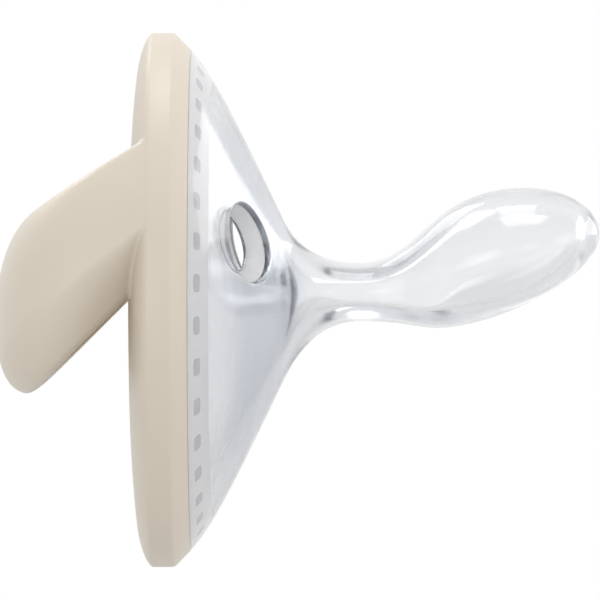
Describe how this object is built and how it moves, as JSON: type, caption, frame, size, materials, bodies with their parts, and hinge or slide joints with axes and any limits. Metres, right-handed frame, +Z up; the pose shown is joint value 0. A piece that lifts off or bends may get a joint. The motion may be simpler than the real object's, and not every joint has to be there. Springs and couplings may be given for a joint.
{
  "type": "pacifier",
  "caption": "Soother with a round domed shield and fixed wide loop handle in beige plastic, and a clear silicone skirt, flat neck and upturned hollow teat.",
  "frame": {"origin": "centre of the bounding box, on the axis of the round shield", "axes": "+X along the shield's axis towards the teat, +Z up as the soother is held in the picture, so the handle slopes down towards -X"},
  "size_m": [0.0484, 0.043, 0.043],
  "materials": {
    "beige_polypropylene": "satin moulded",
    "milky_polypropylene": "milky satin",
    "clear_silicone": "clear gloss"
  },
  "bodies": {
    "root": {"front_shell": "beige_polypropylene", "anchor_ring": "milky_polypropylene", "silicone_teat": "clear_silicone"}
  },
  "joints": []
}
